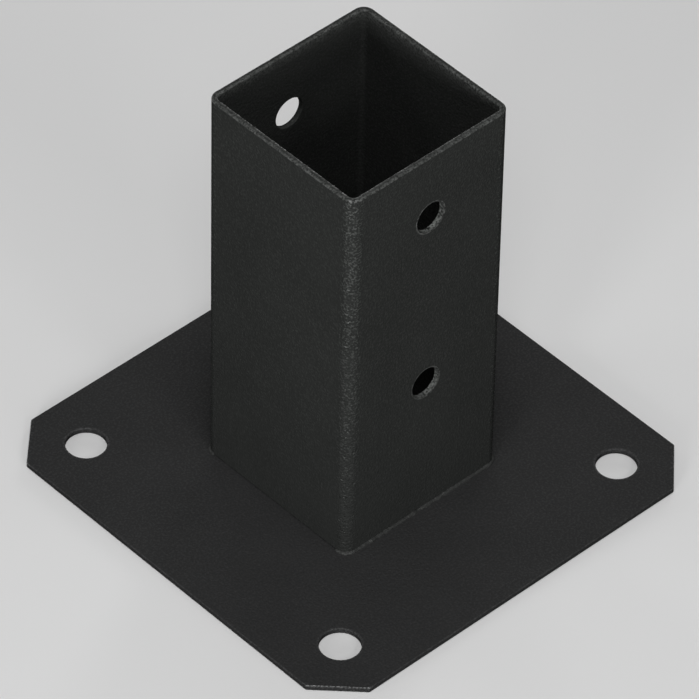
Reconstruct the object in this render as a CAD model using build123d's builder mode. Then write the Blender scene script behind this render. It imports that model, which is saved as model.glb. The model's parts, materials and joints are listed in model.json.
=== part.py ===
from build123d import *
import os

# Screw-down post base: a square steel sleeve welded upright on a flat square plate.
# All sizes are in millimetres. +Z is up and the origin is the middle of the plate's underside.
# The cross screws go through the sleeve along Y, so its -Y and +Y walls are drilled.

# Post and sleeve
post_width = 60.0  # square post that the sleeve takes
post_play = 1.0  # room between the post and each wall
sleeve_wall = 2.0
sleeve_height = 150.0  # from the plate's top to the rim
inner_bend = 2.0  # inside radius of the four upright corners

# Screw holes in the sleeve
screw_hole_diameter = 11.0  # clears an M10 bolt
screw_pitch = 70.0
screw_from_rim = 25.0  # rim to the middle of the upper hole

# Base plate
plate_side = 160.0
plate_thickness = 2.0
corner_clip = 14.0  # leg of each cut-off corner
clip_round = 1.0  # radius where a clipped corner meets the sides
anchor_hole_diameter = 13.5  # clears an M12 anchor
anchor_spacing = 120.0

# Edges and weld
edge_round = 0.4  # outer edges and rim, softened by the coat
hole_bevel = 0.3  # deburred edges of every hole
weld_leg = 0.8  # fine bead at the foot of each drilled wall
weld_hollow = 0.1  # how far the bead's face sags between its toes
weld_wrap = 0.5  # how far a bead runs on past the bends at its ends

# Sizes that follow from the ones above
socket_width = post_width + 2 * post_play
sleeve_width = socket_width + 2 * sleeve_wall
outer_bend = inner_bend + sleeve_wall
rim_z = plate_thickness + sleeve_height
screw_middle_z = rim_z - screw_from_rim - screw_pitch / 2

os.makedirs("parts", exist_ok=True)

# Base plate: square sheet with clipped corners
with BuildPart() as base_plate:
    with BuildSketch() as plate_outline:
        Rectangle(plate_side, plate_side)
        chamfer(plate_outline.vertices(), length=corner_clip)
        fillet(plate_outline.vertices(), radius=clip_round)
    extrude(amount=plate_thickness)
    fillet(base_plate.edges().filter_by(Plane.XY), radius=edge_round)

    # An anchor hole inside each clipped corner
    with BuildSketch(Plane.XY):
        with GridLocations(anchor_spacing, anchor_spacing, 2, 2):
            Circle(anchor_hole_diameter / 2)
    extrude(amount=plate_thickness, mode=Mode.SUBTRACT)
    chamfer(base_plate.edges(Select.LAST).filter_by(GeomType.CIRCLE), length=hole_bevel)

base_plate.part.label = "base_plate"
export_step(base_plate.part, "parts/base_plate.step")

# Post sleeve: square tube that stands on the plate and is open at the top
with BuildPart() as post_sleeve:
    with BuildSketch(Plane.XY.offset(plate_thickness)):
        RectangleRounded(sleeve_width, sleeve_width, outer_bend)
        RectangleRounded(socket_width, socket_width, inner_bend, mode=Mode.SUBTRACT)
    extrude(amount=sleeve_height)
    fillet(post_sleeve.edges().group_by(Axis.Z)[-1], radius=edge_round)

    # Two screw holes, one above the other, straight through the front and back walls
    with BuildSketch(Plane.XZ):
        with Locations((0, screw_middle_z)):
            with GridLocations(0, screw_pitch, 1, 2):
                Circle(screw_hole_diameter / 2)
    extrude(amount=sleeve_width, both=True, mode=Mode.SUBTRACT)
    chamfer(post_sleeve.edges(Select.LAST).filter_by(GeomType.CIRCLE), length=hole_bevel)

post_sleeve.part.label = "post_sleeve"
export_step(post_sleeve.part, "parts/post_sleeve.step")

# Foot weld: a bead along each drilled wall, carried round both of its bends and rounded off at its ends
with BuildPart() as foot_weld:
    half_width = sleeve_width / 2
    end_y = outer_bend + weld_wrap - half_width
    root = (-half_width, plate_thickness)
    plate_toe = (-half_width - weld_leg, plate_thickness)
    wall_toe = (-half_width, plate_thickness + weld_leg)
    with BuildLine(Plane.XY.offset(plate_thickness)) as half_foot:
        FilletPolyline((-half_width, end_y), (-half_width, -half_width), (0, -half_width), radius=outer_bend)
    with BuildSketch(Plane.XZ.offset(-end_y)) as bead_section:
        with BuildLine():
            Line(root, plate_toe)
            SagittaArc(plate_toe, wall_toe, -weld_hollow)
            Line(wall_toe, root)
        make_face()
    sweep(path=half_foot.wires()[0])
    revolve(bead_section.sketch, axis=Axis((-half_width, end_y, 0), (0, 0, -1)), revolution_arc=90)
    mirror(about=Plane.YZ)
    mirror(about=Plane.XZ)

foot_weld.part.label = "foot_weld"
export_step(foot_weld.part, "parts/foot_weld.step")
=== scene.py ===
import json
import math

import bpy
from mathutils import Matrix, Vector


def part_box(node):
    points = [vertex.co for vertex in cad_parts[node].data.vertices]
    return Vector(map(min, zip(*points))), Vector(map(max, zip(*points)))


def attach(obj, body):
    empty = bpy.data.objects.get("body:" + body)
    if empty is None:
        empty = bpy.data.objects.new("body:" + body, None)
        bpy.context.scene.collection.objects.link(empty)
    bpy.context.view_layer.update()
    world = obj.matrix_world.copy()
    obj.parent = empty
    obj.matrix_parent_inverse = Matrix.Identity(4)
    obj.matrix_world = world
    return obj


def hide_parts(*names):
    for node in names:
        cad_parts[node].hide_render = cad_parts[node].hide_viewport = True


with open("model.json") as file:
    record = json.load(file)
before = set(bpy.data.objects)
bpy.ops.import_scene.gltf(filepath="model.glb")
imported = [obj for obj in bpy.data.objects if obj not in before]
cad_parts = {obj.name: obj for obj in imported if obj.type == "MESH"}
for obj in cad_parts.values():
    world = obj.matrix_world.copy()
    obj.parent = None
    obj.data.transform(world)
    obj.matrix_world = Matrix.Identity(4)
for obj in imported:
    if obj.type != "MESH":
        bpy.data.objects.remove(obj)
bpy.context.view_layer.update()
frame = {"record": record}

# Screw-down post base: a square sleeve welded on a flat plate with clipped corners,
# all in a matt black powder coat with a fine grain.
# Lengths are in metres, +Z is up, and the origin is the middle of the plate's underside.
mm = 0.001
noise_middle = 0.5  # the value that a noise swings about
quarter_turn = math.radians(90)
half_turn = math.radians(180)

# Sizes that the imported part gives
plate_low, plate_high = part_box("base_plate")
sleeve_low, sleeve_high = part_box("post_sleeve")
weld_low, weld_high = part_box("foot_weld")
mounts = {mount["name"]: mount for mount in frame["record"]["mounts"]}
anchor_holes = mounts["anchor_holes"]
screw_holes = mounts["front_screw_holes"]

plate_side = plate_high.x - plate_low.x
plate_thickness = plate_high.z - plate_low.z
anchor_spacing = anchor_holes["dims"]["spacing_x_mm"] * mm
anchor_hole_radius = anchor_holes["dims"]["hole_r_mm"] * mm

sleeve_width = sleeve_high.x - sleeve_low.x
sleeve_height = sleeve_high.z - sleeve_low.z
sleeve_wall = 2 * (sleeve_width / 2 + screw_holes["pos_m"][1])  # the mount lies in the middle of the wall
screw_middle_z = screw_holes["pos_m"][2]
screw_pitch = screw_holes["dims"]["spacing_y_mm"] * mm
screw_hole_radius = screw_holes["dims"]["hole_r_mm"] * mm

weld_leg = weld_high.z - weld_low.z

# Sizes of bends, clips and softened edges
outer_bend = 4.0 * mm
corner_clip = 14.0 * mm
clip_round = 1.0 * mm
rim_round = 0.5 * mm
plate_edge_round = 0.45 * mm
screw_hole_round = 0.35 * mm
weld_wrap = 0.5 * mm  # how far a bead runs on past the bends at its ends

# Drill lengths, long enough to go right through
plate_drill_length = 4  # in plate thicknesses
sleeve_drill_length = 2  # in sleeve widths

# How finely curves are cut
bend_steps = 14
rim_steps = 6
clip_steps = 6
hole_steps = 72
edge_steps = 3
bead_steps = 6
crease_angle = math.radians(30)

# Camera, fitted to the photograph's plate edges, rim, sleeve sides and holes
picture_side = 699
origin_pixel = (350.579, 457.481)  # where the photograph shows the origin
focal_pixels = 7122.55
camera_azimuth = math.radians(-43.504)
camera_elevation = math.radians(43.561)
camera_roll = math.radians(-1.191)
camera_distance = 2.27865  # from the origin
nearest_seen = 0.1
furthest_seen = 100.0
sensor_width = 36.0  # in Blender's millimetres

# Studio lights: name, azimuth and elevation in degrees, side in metres, power in watts
world_strength = 0.05
lamp_distance = 1.6
lamps = [
    ("low_left_light", -66.0, 5.0, 0.3, 11.6),
    ("low_right_light", -20.0, 5.0, 0.6, 6.0),
    ("right_front_light", -5.0, 30.0, 0.3, 2.2),
    ("front_light", -43.5, 48.0, 0.3, 3.5),
    ("top_light", -43.5, 80.0, 0.4, 10.6),
    ("left_light", -128.0, 30.0, 0.3, 1.2),
    ("right_light", 37.0, 32.0, 0.3, 0.8),
    ("back_right_light", 118.0, 12.0, 0.3, 4.5),
    ("back_light", 178.0, 12.0, 0.3, 2.2),
    ("back_left_light", 149.5, 12.0, 0.3, 1.5),
    ("high_back_light", 136.5, 45.0, 0.5, 0.85),
]

# Floor
floor_paleness = 0.8
floor_bounce = 0.1  # its paleness in the light that it throws back on the object
floor_roughness = 0.9
floor_reach = 12.0
floor_gap = 0.05 * mm  # under the plate

# Coat: its colours, its gloss, and the sizes of its grain
plate_black = (0.0328, 0.0330, 0.0332)
sleeve_black = (0.0325, 0.0340, 0.0326)
# a little paler than the sleeve: a highlight painted along the bead
weld_black = (0.0360, 0.0371, 0.0361)
darkest_shade = 0.70
shade_swing = 0.20  # what each of three noises adds to the shade
coat_sheen = 0.10
coat_roughness = 0.42
roughness_swing = 0.10
edge_roughness = 0.28
grain_size = 0.75 * mm
grain_height = 0.32 * mm
peel_size = 3.0 * mm
peel_height = 0.10 * mm
cloud_size = 22.0 * mm
plate_relief = 0.55  # the plate's share of the grain's height
bend_grain = 0.3  # how much higher the grain stands at corners

# Light flecks in the coat
flat_flecks = 0.25  # on the flats, as a share of those at corners
fleck_sheen = 0.75
fleck_paleness = 1.3
highlight_fleck_loss = 0.6  # how much of them the painted highlight mask takes away

# Painted highlights and painted light, where 1 is a full highlight on an edge. Under a highlight the colour
# is painted paler and a glossy clear coat lies; into the bores light is painted alone
painted_highlight_paleness = 1.6  # how much paler a full painted highlight makes the colour
plate_edge_highlight = 0.2
anchor_ring_highlight = 0.35
anchor_bore_light = 0.3
rim_top_highlight = 0.85
rim_middle_highlight = 0.35
back_rim_dimming = 0.75  # of the painted highlight, what the outer half of the rim loses behind
lip_light = 0.7  # light painted inside the mouth, with clear-coat gloss, fading out downwards
screw_ring_highlight = 1.0
screw_bore_light = 4.8
outer_bore_share = 0.3  # of the light painted into a front bore at its inner end, what its outer end has
screw_bore_lean = 0.6  # how much paler a front bore is painted at its lowest line, which faces up to the light, than at mid height
weld_highlight = 0.1
highlight_between_patches = 0.4  # what is left of the painted highlight between its patches

# Where the painted highlights and painted light fade out, and where they are full
edge_highlight_reach = 0.6 * mm  # below a top edge
edge_highlight_full = 0.7 * edge_highlight_reach
flat_depth = 0.015 * mm  # how far below a top its own flat ends
flat_full = 0.003 * mm
ring_reach = 0.7 * mm  # round a hole
ring_outside = 0.8 * ring_reach
ring_inside = 0.6 * ring_reach
bore_reach = 0.10 * mm  # outside a hole's radius
bore_full = 0.02 * mm
rim_line_start = 0.2 * mm  # to either side of the wall's middle
rim_line_full = 0.4 * mm
back_rim_start = -0.1 * mm  # outwards from the wall's middle
back_rim_full = 0.2 * mm
inner_face_start = -0.45 * sleeve_wall
inner_face_full = -0.49 * sleeve_wall
lip_reach = 4.0 * mm  # below the rim
corner_lead = 1.0 * mm  # out on the flats beside a bend or clip
corner_full = 0.6 * corner_lead

# Between which values of the noise each pattern starts and is full
fleck_spots = (0.50, 0.62)
highlight_spots = (0.35, 0.55)
bore_light_spots = (0.38, 0.60)
highlight_patches = (0.35, 0.65)


def grey(level):
    """A colour with the same amount of red, green and blue."""
    return (level, level, level, 1.0)


def find_socket(sockets, key):
    """A socket by its place or, among those in use, by its name."""
    if isinstance(key, int):
        return sockets[key]
    return next(socket for socket in sockets if socket.enabled and socket.name == key)


class Wire:
    """One output of a node. Arithmetic on it adds Math nodes to its tree."""

    def __init__(self, tree, socket):
        self.tree = tree
        self.socket = socket

    def __getitem__(self, name):
        return Wire(self.tree, find_socket(self.socket.node.outputs, name))

    def maths(self, operation, first, second):
        return self.tree.add("ShaderNodeMath", {"operation": operation}, {0: first, 1: second})

    def __add__(self, other):
        return self.maths("ADD", self, other)

    def __radd__(self, other):
        return self.maths("ADD", other, self)

    def __sub__(self, other):
        return self.maths("SUBTRACT", self, other)

    def __rsub__(self, other):
        return self.maths("SUBTRACT", other, self)

    def __mul__(self, other):
        return self.maths("MULTIPLY", self, other)

    def __rmul__(self, other):
        return self.maths("MULTIPLY", other, self)

    def __truediv__(self, other):
        return self.maths("DIVIDE", self, other)

    def __rtruediv__(self, other):
        return self.maths("DIVIDE", other, self)

    def __pow__(self, other):
        return self.maths("POWER", self, other)

    def __abs__(self):
        return self.maths("ABSOLUTE", self, 0.0)

    def at_least(self, other):
        return self.maths("MAXIMUM", self, other)

    def at_most(self, other):
        return self.maths("MINIMUM", self, other)

    def ramp(self, start, end):
        """0 at the start, 1 at the end, and held beyond both."""
        return ((self - start) / (end - start)).at_least(0.0).at_most(1.0)


class Tree:
    """A shader or geometry node tree, filled by add() alone."""

    def __init__(self, node_tree):
        self.node_tree = node_tree
        self.node_tree.nodes.clear()

    def add(self, kind, settings=None, values=None):
        """A node of this kind, with its settings and its sockets' values or wires. Gives its first output."""
        node = self.node_tree.nodes.new(kind)
        for name, setting in (settings or {}).items():
            setattr(node, name, setting)
        for key, value in (values or {}).items():
            socket = find_socket(node.inputs, key)
            for one in value if isinstance(value, list) else [value]:
                if isinstance(one, Wire):
                    self.node_tree.links.new(one.socket, socket)
                else:
                    socket.default_value = one
        outputs = [socket for socket in node.outputs if socket.enabled]
        return Wire(self, outputs[0]) if outputs else None


def grow(name, recipe, sizes, finish, edge_round=0.0, start=None):
    """Make a piece from a geometry recipe and round its sharp edges, as one plain mesh at the origin."""
    group = bpy.data.node_groups.new(name + "_recipe", "GeometryNodeTree")
    group.interface.new_socket("Geometry", in_out="INPUT", socket_type="NodeSocketGeometry")
    group.interface.new_socket("Geometry", in_out="OUTPUT", socket_type="NodeSocketGeometry")
    inputs = dict(sizes, Finish=finish)
    identifiers = {}
    for label, value in inputs.items():
        kind = {int: "NodeSocketInt", float: "NodeSocketFloat"}.get(type(value), "NodeSocketMaterial")
        identifiers[label] = group.interface.new_socket(label, in_out="INPUT", socket_type=kind).identifier
    tree = Tree(group)
    given = tree.add("NodeGroupInput")
    shape = tree.add("GeometryNodeRealizeInstances", values={"Geometry": recipe(tree, given)})
    coated = tree.add("GeometryNodeSetMaterial", values={"Geometry": shape, "Material": given["Finish"]})
    tree.add("NodeGroupOutput", values={"Geometry": coated})

    piece = bpy.data.objects.new(name, start or bpy.data.meshes.new(name))
    bpy.context.scene.collection.objects.link(piece)
    modifier = piece.modifiers.new("recipe", "NODES")
    modifier.node_group = group
    for label, value in inputs.items():
        modifier[identifiers[label]] = value
    if edge_round:
        rounding = piece.modifiers.new("edges", "BEVEL")
        rounding.width = edge_round
        rounding.segments = edge_steps
        rounding.limit_method = "ANGLE"
        rounding.angle_limit = crease_angle
        rounding.harden_normals = True
    made = bpy.data.meshes.new_from_object(piece.evaluated_get(bpy.context.evaluated_depsgraph_get()))
    piece.modifiers.clear()
    piece.data = made
    made.name = name
    return piece


def fillet(tree, curve, radius, steps):
    """The curve with its corners rounded, each in this many steps."""
    return tree.add(
        "GeometryNodeFilletCurve",
        {"mode": "POLY"},
        {"Curve": curve, "Radius": radius, "Count": steps},
    )


def rounded_square(tree, side, corner, steps):
    """A closed curve round a square with rounded corners."""
    square = tree.add("GeometryNodeCurvePrimitiveQuadrilateral", values={"Width": side, "Height": side})
    return fillet(tree, square, corner, steps)


def kept_upright(tree, curve):
    """The curve, so that a section swept along it keeps one side up."""
    return tree.add("GeometryNodeSetCurveNormal", {"mode": "Z_UP"}, {"Curve": curve})


def smooth(tree, mesh):
    """Shade the mesh smooth, apart from edges that turn more than the crease angle."""
    soft = tree.add("GeometryNodeSetShadeSmooth", {"domain": "FACE"}, {"Geometry": mesh})
    turn = tree.add("GeometryNodeInputMeshEdgeAngle")
    sharp = tree.add("FunctionNodeCompare", {"operation": "GREATER_THAN"}, {"A": turn, "B": crease_angle})
    return tree.add(
        "GeometryNodeSetShadeSmooth",
        {"domain": "EDGE"},
        {"Geometry": soft, "Selection": sharp, "Shade Smooth": False},
    )


def drill(tree, mesh, points, radius, depth, turn=(0.0, 0.0, 0.0)):
    """Cut a round hole through the mesh at each point. Holes run along Z, unless turned."""
    bit = tree.add(
        "GeometryNodeMeshCylinder",
        values={"Vertices": hole_steps, "Radius": radius, "Depth": depth},
    )
    bits = tree.add(
        "GeometryNodeInstanceOnPoints",
        values={"Points": points, "Instance": bit, "Rotation": turn},
    )
    cut = tree.add("GeometryNodeRealizeInstances", values={"Geometry": bits})
    return tree.add(
        "GeometryNodeMeshBoolean",
        {"operation": "DIFFERENCE", "solver": "EXACT"},
        {"Mesh 1": mesh, "Mesh 2": cut},
    )


def plate_recipe(tree, given):
    """Square sheet, its corners clipped and then softened, with a hole inside each clip."""
    clipped = rounded_square(tree, given["Side"], given["Clip"], 1)
    outline = fillet(tree, clipped, given["Clip round"], clip_steps)
    top = tree.add("ShaderNodeCombineXYZ", values={"Z": given["Thickness"]})
    rise = tree.add("GeometryNodeCurvePrimitiveLine", values={"End": top})
    sheet = tree.add(
        "GeometryNodeCurveToMesh",
        values={"Curve": rise, "Profile Curve": outline, "Fill Caps": True},
    )
    spacing = given["Hole spacing"]
    grid = tree.add(
        "GeometryNodeMeshGrid",
        values={"Size X": spacing, "Size Y": spacing, "Vertices X": 2, "Vertices Y": 2},
    )
    length = given["Thickness"] * plate_drill_length
    return smooth(tree, drill(tree, sheet, grid, given["Hole radius"], length))


def sleeve_recipe(tree, given):
    """Square tube: one wall's section swept round the middle line, drilled through front and back."""
    wall = given["Wall"]
    middle_line = rounded_square(tree, given["Width"] - wall, given["Bend"] - wall / 2, bend_steps)
    section = tree.add(
        "GeometryNodeCurvePrimitiveQuadrilateral",
        values={"Width": wall, "Height": given["Height"]},
    )
    softened = fillet(tree, section, given["Rim round"], rim_steps)
    tube = tree.add(
        "GeometryNodeCurveToMesh",
        values={"Curve": kept_upright(tree, middle_line), "Profile Curve": softened},
    )
    lift = tree.add("ShaderNodeCombineXYZ", values={"Z": given["Foot height"] + given["Height"] / 2})
    standing = tree.add("GeometryNodeTransform", values={"Geometry": tube, "Translation": lift})
    pitch = given["Screw pitch"]
    lowest = tree.add("ShaderNodeCombineXYZ", values={"Z": given["Screw middle"] - pitch / 2})
    step = tree.add("ShaderNodeCombineXYZ", values={"Z": pitch})
    places = tree.add("GeometryNodeMeshLine", values={"Count": 2, "Start Location": lowest, "Offset": step})
    length = given["Width"] * sleeve_drill_length
    along_y = (quarter_turn, 0.0, 0.0)
    return smooth(tree, drill(tree, standing, places, given["Screw radius"], length, along_y))


def weld_recipe(tree, given):
    """Fine uneven bead swept along the front foot and round its bends, and its twin behind."""
    foot = tree.add("GeometryNodeMeshToCurve", values={"Mesh": given["Geometry"]})
    bent = fillet(tree, foot, given["Bend"], bend_steps)
    stepped = tree.add(
        "GeometryNodeResampleCurve",
        {"mode": "LENGTH"},
        {"Curve": bent, "Length": given["Step"]},
    )
    along = tree.add("GeometryNodeSplineParameter")["Length"]
    whole = tree.add("GeometryNodeSplineLength")["Length"]
    leg = given["Leg"]
    to_end = along.at_most(whole - along)
    short_of_leg = 1 - (to_end / leg).at_most(1.0)
    rounded_end = (1 - short_of_leg * short_of_leg) ** 0.5
    swell = tree.add(
        "ShaderNodeTexNoise",
        {"noise_dimensions": "1D"},
        {"W": along / given["Swell"] + given["Seed"], "Scale": 1.0, "Detail": 1.0},
    )
    thickness = rounded_end * (1 + (swell - noise_middle) * given["Swell share"])
    section = tree.add(
        "GeometryNodeCurveArc",
        values={
            "Resolution": bead_steps,
            "Radius": leg,
            "Start Angle": -quarter_turn,
            "Sweep Angle": quarter_turn,
            "Connect Center": True,
        },
    )
    bead = tree.add(
        "GeometryNodeCurveToMesh",
        values={
            "Curve": kept_upright(tree, stepped),
            "Profile Curve": section,
            "Scale": thickness,
            "Fill Caps": True,
        },
    )
    behind = tree.add(
        "GeometryNodeTransform",
        values={"Geometry": bead, "Rotation": (0.0, 0.0, half_turn)},
    )
    both = tree.add("GeometryNodeJoinGeometry", values={"Geometry": [behind, bead]})
    uneven = tree.add(
        "ShaderNodeTexNoise",
        {"noise_dimensions": "4D"},
        {"W": given["Seed"], "Scale": 1 / given["Ripple"], "Detail": 2.0},
    )
    centred = tree.add(
        "ShaderNodeVectorMath",
        {"operation": "SUBTRACT"},
        {0: uneven["Color"], 1: (noise_middle,) * 3},
    )
    shift = tree.add(
        "ShaderNodeVectorMath",
        {"operation": "SCALE"},
        {0: centred, "Scale": given["Ripple height"]},
    )
    return smooth(tree, tree.add("GeometryNodeSetPosition", values={"Geometry": both, "Offset": shift}))


def at_corners(axes, total):
    """1 where the distances from the middle planes add up to this total, and 0 a little short of it."""
    return (abs(axes["X"]) + abs(axes["Y"])).ramp(total - corner_lead, total + corner_full)


def near_top(axes, top):
    """1 from just below this top upwards, and 1 on the top's own flat alone."""
    below = top - axes["Z"]
    return below.ramp(edge_highlight_reach, edge_highlight_full), below.ramp(flat_depth, flat_full)


def near_hole(axes, first, first_place, second, second_place, radius):
    """1 on the ring round a hole, 1 in its bore, and how far up the second axis a point lies, in radii.

    It also counts for the hole's mirror images in the middle planes.
    """
    across = abs(axes[first]) - first_place
    along = abs(axes[second]) - second_place
    from_axis = (across * across + along * along) ** 0.5
    bore = from_axis.ramp(radius + bore_reach, radius + bore_full)
    within_reach = from_axis.ramp(radius + ring_reach, radius + ring_outside)
    off_bore = from_axis.ramp(radius, radius + ring_inside)
    return within_reach * off_bore, bore, along / radius


def plate_highlights(axes):
    """Painted highlight, with a glossy clear coat: most on the clips' top edges, less on the straight ones,
    and a little round the anchor holes. Light is painted a little into the anchor bores.
    """
    clips = at_corners(axes, plate_side - corner_clip - corner_lead)
    edge, flat = near_top(axes, plate_thickness)
    offset = anchor_spacing / 2
    ring, bore, _ = near_hole(axes, "X", offset, "Y", offset, anchor_hole_radius)
    edge_highlight = plate_edge_highlight + clips * (1 - plate_edge_highlight)
    gloss_and_painted_highlight = edge * (1 - flat) * edge_highlight + ring * anchor_ring_highlight
    return gloss_and_painted_highlight, bore * anchor_bore_light, clips


def rim_highlight(axes, flat, outward):
    """Painted highlight, with a glossy clear coat: full on the rim's rounded edges. On its flat most in a
    line to either side, and fainter far behind.
    """
    lines = abs(outward).ramp(rim_line_start, rim_line_full)
    behind = (axes["X"] + axes["Y"]).ramp(-outer_bend, outer_bend)
    # Behind, the outer half of the rim gets less of the painted highlight
    coated = behind * outward.ramp(back_rim_start, back_rim_full) * back_rim_dimming
    top_highlight = (rim_middle_highlight + lines * (rim_top_highlight - rim_middle_highlight)) * (1 - coated)
    return 1 - flat + flat * top_highlight


def sleeve_highlights(axes):
    """At the bends, where the flecks gather, and a painted highlight with a glossy clear coat on the rim and
    lip and round the front holes, with light painted into the front bores. The holes behind get no painted
    highlight or light.
    """
    bends = at_corners(axes, sleeve_width - outer_bend)
    edge, flat = near_top(axes, sleeve_high.z)
    straight = sleeve_width / 2 - outer_bend
    past_x = (abs(axes["X"]) - straight).at_least(0.0)
    past_y = (abs(axes["Y"]) - straight).at_least(0.0)
    outward = (past_x * past_x + past_y * past_y) ** 0.5 - (outer_bend - sleeve_wall / 2)
    inner_face = outward.ramp(inner_face_start, inner_face_full)
    lip = inner_face * (sleeve_high.z - axes["Z"]).ramp(lip_reach, edge_highlight_reach) * lip_light
    gloss_and_painted_highlight = edge * rim_highlight(axes, flat, outward)
    gloss_and_painted_highlight = gloss_and_painted_highlight + (1 - gloss_and_painted_highlight) * lip
    wall_outside = -sleeve_width / 2
    wall_inside = wall_outside + sleeve_wall
    in_front = axes["Y"].ramp(0.0, wall_inside)
    inward = axes["Y"].ramp(wall_outside, wall_inside)
    bore_light = in_front * (outer_bore_share + inward * (1 - outer_bore_share)) * screw_bore_light
    painted_bore_light = 0.0
    for side in (-1, 1):
        height = screw_middle_z + side * screw_pitch / 2
        ring, bore, up = near_hole(axes, "X", 0.0, "Z", height, screw_hole_radius)
        gloss_and_painted_highlight = gloss_and_painted_highlight + ring * in_front * screw_ring_highlight
        painted_bore_light = painted_bore_light + bore * bore_light * (1 - up * screw_bore_lean)
    return gloss_and_painted_highlight, painted_bore_light, bends


def weld_highlights(axes):
    """Painted highlight, with a glossy clear coat, a little all along its top."""
    edge, _ = near_top(axes, weld_high.z)
    return edge * weld_highlight, 0.0, 0.0


def powder_coat(name, colour, highlight_masks, relief=1.0):
    """Matt black powder coat with a close grain of small pimples and metallic flecks, most at corners. Under
    the highlight masks its colour is painted paler and it has a glossy clear coat, and light is painted into
    bores.
    """
    material = bpy.data.materials.new(name)
    material.use_nodes = True
    tree = Tree(material.node_tree)
    place = tree.add("ShaderNodeTexCoord")["Object"]
    grain = tree.add(
        "ShaderNodeTexNoise",
        values={"Vector": place, "Scale": 1 / grain_size, "Detail": 1.0, "Roughness": 0.5},
    )
    peel = tree.add("ShaderNodeTexNoise", values={"Vector": place, "Scale": 1 / peel_size, "Detail": 1.0})
    cloud = tree.add("ShaderNodeTexNoise", values={"Vector": place, "Scale": 1 / cloud_size, "Detail": 2.0})
    spots = tree.add("ShaderNodeSeparateXYZ", values={"Vector": grain["Color"]})["Y"]
    gloss_and_painted_highlight, painted_bore_light, corners = highlight_masks(tree.add("ShaderNodeSeparateXYZ", values={"Vector": place}))
    # The highlight mask, broken into grains and patches: a glossy clear coat, and a highlight painted paler
    # into the colour
    patches = highlight_between_patches + peel.ramp(*highlight_patches) * (1 - highlight_between_patches)
    gloss_and_painted_highlight = gloss_and_painted_highlight * spots.ramp(*highlight_spots) * patches
    painted_bore_light = painted_bore_light * spots.ramp(*bore_light_spots)
    fleck_share = flat_flecks + corners * (1 - flat_flecks)
    flecks = spots.ramp(*fleck_spots) * fleck_share * (1 - gloss_and_painted_highlight * highlight_fleck_loss)
    # The flecks' own paler colour, plus painted highlights and light painted into the bores
    flecks_and_painted_light = flecks * fleck_paleness + gloss_and_painted_highlight * painted_highlight_paleness + painted_bore_light
    tone_and_painted_light = (darkest_shade + grain * shade_swing + spots * shade_swing + cloud * shade_swing) * (1 + flecks_and_painted_light)
    tinted = tree.add("ShaderNodeVectorMath", {"operation": "SCALE"}, {0: colour, "Scale": tone_and_painted_light})
    pimples = (grain - noise_middle) * grain_height + (peel - noise_middle) * peel_height
    height = pimples * (relief * (1 + corners * bend_grain))
    bumps = tree.add("ShaderNodeBump", values={"Strength": 1.0, "Distance": 1.0, "Height": height})
    coat = tree.add(
        "ShaderNodeBsdfPrincipled",
        values={
            "Base Color": tinted,
            "Metallic": coat_sheen + flecks * fleck_sheen,
            "Roughness": coat_roughness + roughness_swing / 2 - spots * roughness_swing,
            "Specular IOR Level": 0.0,
            "Specular Tint": grey(0.0),
            "Coat Weight": gloss_and_painted_highlight,
            "Coat Roughness": edge_roughness,
            "Normal": bumps,
        },
    )
    tree.add("ShaderNodeOutputMaterial", values={"Surface": coat})
    return material


def floor_finish():
    """Pale to the camera and in reflections, and duller in the light that it throws back on the object."""
    material = bpy.data.materials.new("pale_floor")
    material.use_nodes = True
    tree = Tree(material.node_tree)
    ray = tree.add("ShaderNodeLightPath")
    seen = ray["Is Camera Ray"] + ray["Is Glossy Ray"] + ray["Is Transmission Ray"]
    dull, pale = [
        tree.add("ShaderNodeBsdfPrincipled", values={"Base Color": grey(level), "Roughness": floor_roughness})
        for level in (floor_bounce, floor_paleness)
    ]
    paint = tree.add("ShaderNodeMixShader", values={0: seen.at_most(1.0), 1: dull, 2: pale})
    tree.add("ShaderNodeOutputMaterial", values={"Surface": paint})
    return material


def lay_floor():
    """A wide flat floor just under the plate."""
    ways = [(-1, -1), (1, -1), (1, 1), (-1, 1)]
    corners = [(x * floor_reach, y * floor_reach, -floor_gap) for x, y in ways]
    mesh = bpy.data.meshes.new("floor")
    mesh.from_pydata(corners, [], [(0, 1, 2, 3)])
    mesh.materials.append(floor_finish())
    floor = bpy.data.objects.new("floor", mesh)
    bpy.context.scene.collection.objects.link(floor)


def direction_of(azimuth, elevation):
    """From the object outwards, in radians. Azimuth 0 is towards -Y, and a quarter turn towards +X."""
    return Vector((
        math.sin(azimuth) * math.cos(elevation),
        -math.cos(azimuth) * math.cos(elevation),
        math.sin(elevation),
    ))


def softbox(name, azimuth, elevation, side, power):
    """A square light that faces the object."""
    direction = direction_of(math.radians(azimuth), math.radians(elevation))
    lamp = bpy.data.lights.new(name, "AREA")
    lamp.shape = "SQUARE"
    lamp.size = side
    lamp.energy = power
    holder = bpy.data.objects.new(name, lamp)
    bpy.context.scene.collection.objects.link(holder)
    holder.visible_camera = False
    holder.location = Vector((0.0, 0.0, sleeve_high.z / 2)) + direction * lamp_distance
    holder.rotation_mode = "QUATERNION"
    holder.rotation_quaternion = direction.to_track_quat("Z", "Y")


def light_studio():
    """Faint even surroundings and plain soft lights."""
    world = bpy.data.worlds.new("studio")
    world.use_nodes = True
    bpy.context.scene.world = world
    tree = Tree(world.node_tree)
    glow = tree.add("ShaderNodeBackground", values={"Color": grey(1.0), "Strength": world_strength})
    tree.add("ShaderNodeOutputWorld", values={"Surface": glow})
    for lamp in lamps:
        softbox(*lamp)
    bpy.context.scene.view_settings.view_transform = "Standard"


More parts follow.
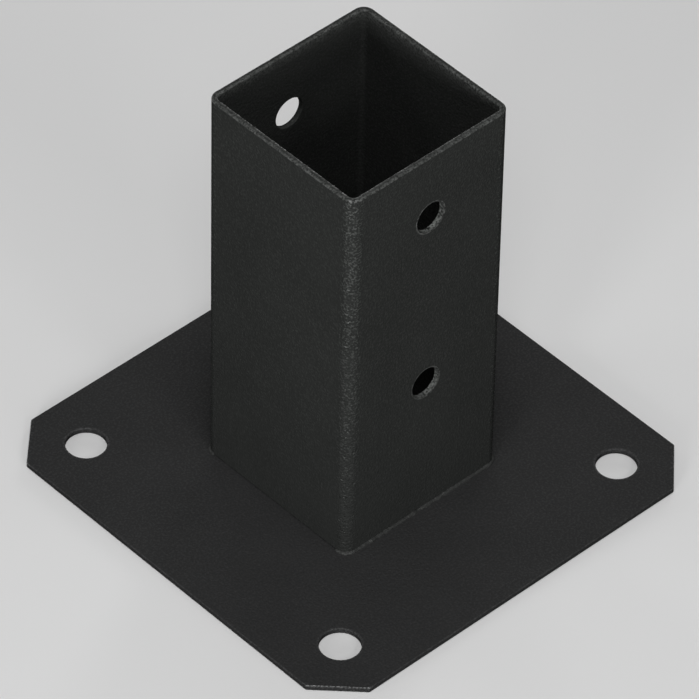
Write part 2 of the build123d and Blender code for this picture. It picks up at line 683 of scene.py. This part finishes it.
def aim_camera():
    """Camera at the photograph's angle, with the origin where the photograph shows it."""
    back = direction_of(camera_azimuth, camera_elevation)
    level_right = (-back).cross(Vector((0, 0, 1))).normalized()
    level_down = (-back).cross(level_right)
    right = level_right * math.cos(camera_roll) + level_down * math.sin(camera_roll)
    down = level_down * math.cos(camera_roll) - level_right * math.sin(camera_roll)
    picture_centre = (picture_side - 1) / 2
    aside = (origin_pixel[0] - picture_centre) / focal_pixels * camera_distance
    below = (origin_pixel[1] - picture_centre) / focal_pixels * camera_distance
    camera = bpy.data.cameras.new("camera")
    camera.sensor_width = sensor_width
    camera.lens = focal_pixels / picture_side * sensor_width
    camera.clip_start = nearest_seen
    camera.clip_end = furthest_seen
    holder = bpy.data.objects.new("camera", camera)
    bpy.context.scene.collection.objects.link(holder)
    facing = Matrix((right, -down, back)).transposed()
    stand = back * camera_distance - right * aside - down * below
    holder.matrix_world = Matrix.Translation(stand) @ facing.to_4x4()
    bpy.context.scene.camera = holder


def add_piece(piece, node):
    """Put a finished piece in the place of a CAD node."""
    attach(piece, "root")
    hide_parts(node)


aim_camera()
light_studio()
lay_floor()

plate_coat = powder_coat("plate_coat", plate_black, plate_highlights, plate_relief)
sleeve_coat = powder_coat("sleeve_coat", sleeve_black, sleeve_highlights)
weld_coat = powder_coat("weld_coat", weld_black, weld_highlights)

plate_sizes = {
    "Side": plate_side,
    "Clip": corner_clip,
    "Clip round": clip_round,
    "Thickness": plate_thickness,
    "Hole spacing": anchor_spacing,
    "Hole radius": anchor_hole_radius,
}
add_piece(grow("plate", plate_recipe, plate_sizes, plate_coat, plate_edge_round), "base_plate")

sleeve_sizes = {
    "Width": sleeve_width,
    "Height": sleeve_height,
    "Wall": sleeve_wall,
    "Bend": outer_bend,
    "Rim round": rim_round,
    "Foot height": sleeve_low.z,
    "Screw middle": screw_middle_z,
    "Screw pitch": screw_pitch,
    "Screw radius": screw_hole_radius,
}
add_piece(grow("sleeve", sleeve_recipe, sleeve_sizes, sleeve_coat, screw_hole_round), "post_sleeve")

# The line that the front bead follows: the foot of the front wall, and its ends on the side walls
half_width = sleeve_width / 2
end_y = outer_bend + weld_wrap - half_width
foot_line = bpy.data.meshes.new("foot_line")
foot_line.from_pydata(
    [
        (-half_width, end_y, plate_thickness),
        (-half_width, -half_width, plate_thickness),
        (half_width, -half_width, plate_thickness),
        (half_width, end_y, plate_thickness),
    ],
    [(0, 1), (1, 2), (2, 3)],
    [],
)
weld_sizes = {
    "Bend": outer_bend,
    "Leg": weld_leg,
    "Step": 0.35 * mm,
    "Swell": 3.0 * mm,
    "Swell share": 0.8,
    "Ripple": 1.6 * mm,
    "Ripple height": 0.4 * mm,
    "Seed": 3.0,
}
add_piece(grow("weld", weld_recipe, weld_sizes, weld_coat, start=foot_line), "foot_weld")
